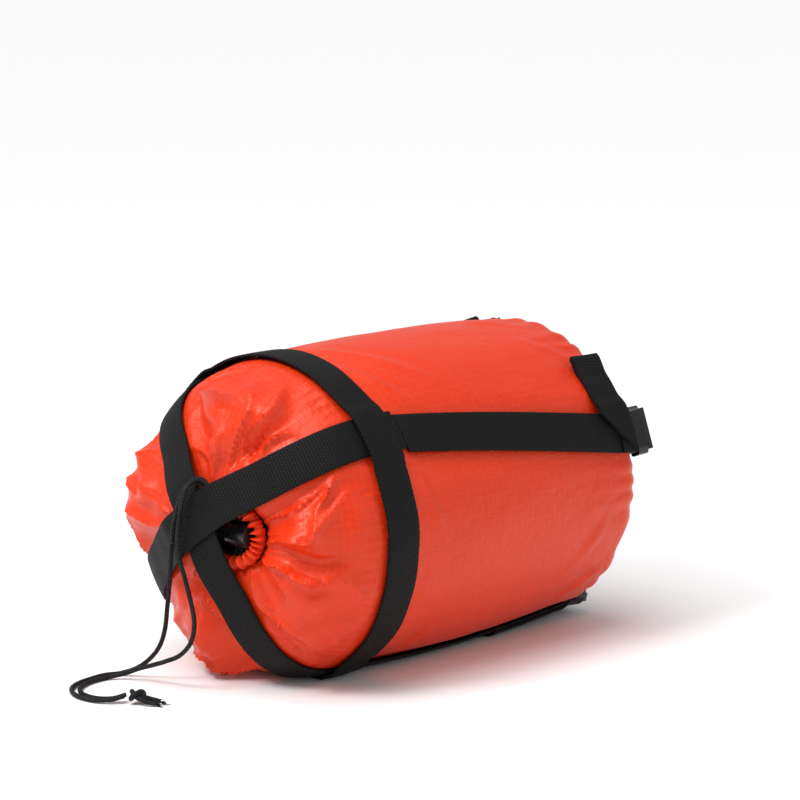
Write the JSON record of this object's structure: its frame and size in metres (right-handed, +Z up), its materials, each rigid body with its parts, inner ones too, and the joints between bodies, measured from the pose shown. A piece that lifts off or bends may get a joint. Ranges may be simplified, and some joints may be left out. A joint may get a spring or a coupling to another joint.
{
  "type": "compression sack",
  "caption": "Stuffed drawcord compression sack lying on its side, squeezed lengthwise by webbing straps with ladder locks.",
  "frame": {"origin": "middle of the underside of the sack, without its free drawcord", "axes": "+X from the drawcord mouth to the base along the sack, +Y to the far side, +Z up"},
  "size_m": [0.3782, 0.2006, 0.1962],
  "materials": {
    "shell": "coated ripstop nylon, satin",
    "contents": "brushed knit cloth",
    "webbing": "woven polypropylene, matte",
    "moulding": "moulded acetal, glossy",
    "cord": "braided polyester",
    "spring": "bright wire"
  },
  "bodies": {
    "sack": {"sack_tube": "shell", "mouth_fabric": "shell", "hem_channel": "shell", "packed_fill": "contents", "mouth_hoop": "webbing", "strap_a_cross": "webbing", "strap_b_cross": "webbing", "side_run_near_top": "webbing", "side_run_far_top": "webbing", "side_run_far_bottom": "webbing", "side_run_near_bottom": "webbing", "channel_cord": "cord", "cord_lock_body": "moulding", "cord_lock_spring": "spring", "drawcord_left": "cord", "drawcord_right": "cord", "drawcord_knot": "cord"},
    "base": {"base_panel": "shell", "base_strap_a": "webbing", "base_strap_b": "webbing", "anchor_loop_near_top": "webbing", "anchor_loop_far_top": "webbing", "anchor_loop_far_bottom": "webbing", "anchor_loop_near_bottom": "webbing", "tail_near_top": "webbing", "tail_far_top": "webbing", "tail_far_bottom": "webbing", "tail_near_bottom": "webbing"},
    "plunger": {"cord_lock_plunger": "moulding"},
    "lock_near_top": {"ladder_lock_near_top": "moulding", "lock_turn_near_top": "webbing"},
    "lock_far_top": {"ladder_lock_far_top": "moulding", "lock_turn_far_top": "webbing"},
    "lock_far_bottom": {"ladder_lock_far_bottom": "moulding", "lock_turn_far_bottom": "webbing"},
    "lock_near_bottom": {"ladder_lock_near_bottom": "moulding", "lock_turn_near_bottom": "webbing"}
  },
  "joints": [
    {"name": "compress", "type": "slide", "parent": "sack", "child": "base", "axis": [-1, 0, 0], "range_m": [0, 0.055], "deforming": ["sack_tube", "packed_fill", "side_run_near_top", "side_run_far_top", "side_run_far_bottom", "side_run_near_bottom"]},
    {"name": "lock_tilt_near_top", "type": "hinge", "parent": "base", "child": "lock_near_top", "pos_m": [0.15288, -0.07353, 0.12375], "axis": [0, 0.342, 0.9397], "range_deg": [0, 40], "deforming": ["lock_turn_near_top", "tail_near_top"]},
    {"name": "lock_tilt_far_top", "type": "hinge", "parent": "base", "child": "lock_far_top", "pos_m": [0.15288, 0.04147, 0.16335], "axis": [0, 0.848, -0.5299], "range_deg": [0, 40], "deforming": ["lock_turn_far_top", "tail_far_top"]},
    {"name": "lock_tilt_far_bottom", "type": "hinge", "parent": "base", "child": "lock_far_bottom", "pos_m": [0.15288, 0.07149, 0.06516], "axis": [0, -0.4067, -0.9135], "range_deg": [0, 40], "deforming": ["lock_turn_far_bottom", "tail_far_bottom"]},
    {"name": "lock_tilt_near_bottom", "type": "hinge", "parent": "base", "child": "lock_near_bottom", "pos_m": [0.15288, -0.02157, 0.02176], "axis": [0, -0.9613, 0.2756], "range_deg": [0, 40], "deforming": ["lock_turn_near_bottom", "tail_near_bottom"]},
    {"name": "plunger_press", "type": "slide", "parent": "sack", "child": "plunger", "axis": [0, -1, 0], "range_m": [0, 0.004], "stiffness_N_per_m": 400, "springref_m": -0.003, "deforming": ["cord_lock_spring"]}
  ]
}
